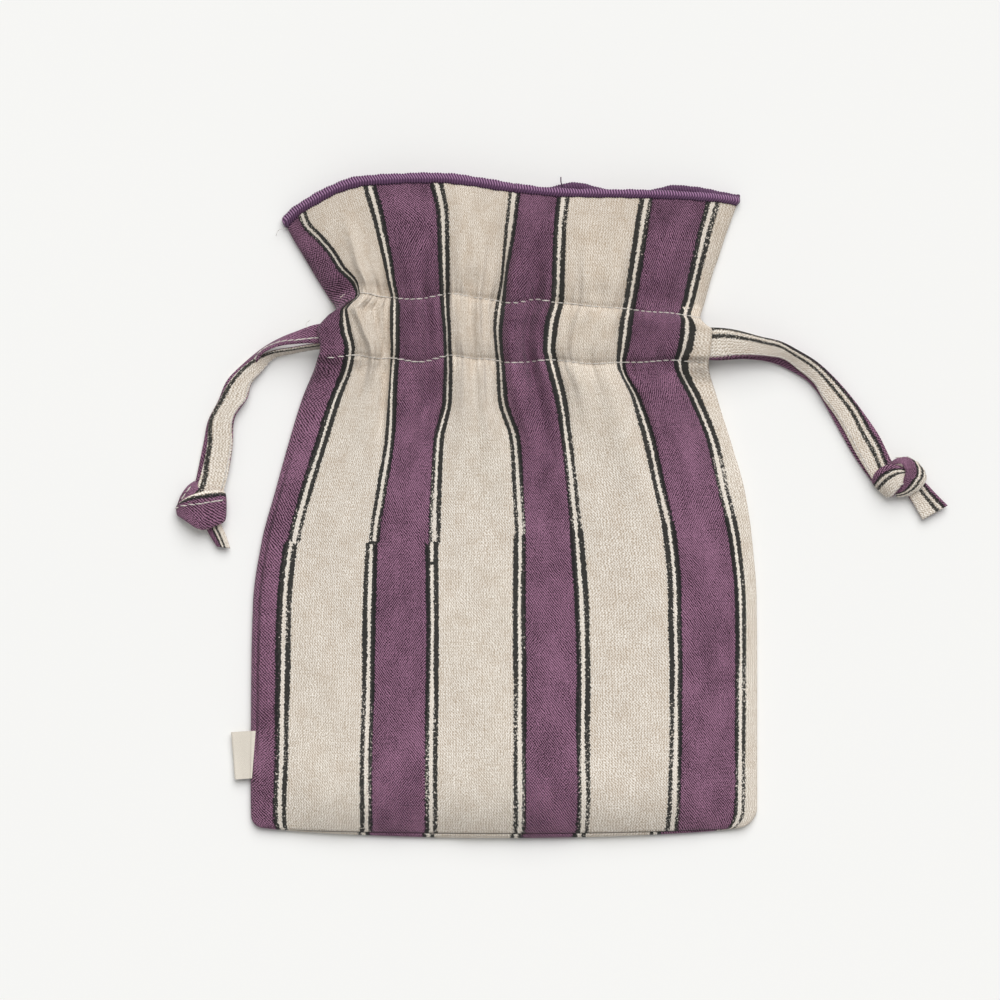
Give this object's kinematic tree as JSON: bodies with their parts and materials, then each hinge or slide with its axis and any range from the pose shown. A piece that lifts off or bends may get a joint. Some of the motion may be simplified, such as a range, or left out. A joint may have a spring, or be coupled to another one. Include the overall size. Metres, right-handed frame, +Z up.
{
  "type": "drawstring pouch",
  "caption": "Flat striped linen pouch with a gathered neck, frilled overlocked mouth, side label and opposed knotted cloth drawstrings in a sewn casing that draw it shut.",
  "frame": {"origin": "on the underside of the back panel, at the middle of the pouch's length and of its body's width, on the surface that the pouch lies on", "axes": "+X across the pouch to the right as seen from above, +Y from the bottom seam to the mouth, +Z up out of the front panel"},
  "size_m": [0.3046, 0.266, 0.0182],
  "materials": {
    "striped_linen": "plain-weave linen printed with purple stripes and paired black lines",
    "plain_linen": "natural plain-weave linen",
    "purple_linen": "plum-printed plain-weave linen",
    "thread": "off-white sewing thread",
    "overlock_thread": "dense purple overlock thread",
    "label_tape": "folded cream woven tape, bare"
  },
  "bodies": {
    "pouch": {"front_panel": "striped_linen", "back_panel": "striped_linen", "front_casing_strip": "plain_linen", "back_casing_strip": "plain_linen", "front_lower_stitch": "thread", "front_upper_stitch": "thread", "back_lower_stitch": "thread", "back_upper_stitch": "thread", "front_overlock": "overlock_thread", "back_overlock": "overlock_thread", "left_side_seam": "purple_linen", "right_side_seam": "plain_linen", "left_frill_seam": "purple_linen", "right_frill_seam": "plain_linen", "bottom_seam": "plain_linen"},
    "label": {"label": "label_tape"},
    "left_drawstring": {"left_front_run": "purple_linen", "left_back_run": "purple_linen", "left_bend": "purple_linen", "left_upper_strand": "striped_linen", "left_lower_strand": "purple_linen", "left_knot": "purple_linen", "left_upper_tail": "striped_linen", "left_lower_tail": "purple_linen"},
    "right_drawstring": {"right_front_run": "striped_linen", "right_back_run": "striped_linen", "right_bend": "striped_linen", "right_upper_strand": "striped_linen", "right_lower_strand": "purple_linen", "right_knot": "purple_linen", "right_upper_tail": "striped_linen", "right_lower_tail": "purple_linen"}
  },
  "joints": [
    {"name": "left_drawstring_pull", "type": "slide", "parent": "pouch", "child": "left_drawstring", "axis": [-1, 0, 0], "range_m": [-0.008, 0.045], "deforming": ["front_casing_strip", "back_casing_strip", "left_upper_strand", "left_lower_strand"]},
    {"name": "right_drawstring_pull", "type": "slide", "parent": "pouch", "child": "right_drawstring", "axis": [1, 0, 0], "range_m": [-0.008, 0.045], "deforming": ["front_casing_strip", "back_casing_strip", "right_upper_strand", "right_lower_strand"]},
    {"name": "label_flap", "type": "hinge", "parent": "pouch", "child": "label", "pos_m": [-0.1021, -0.0998, 0.0014], "axis": [0, 1, 0], "range_deg": [0, 100]}
  ]
}
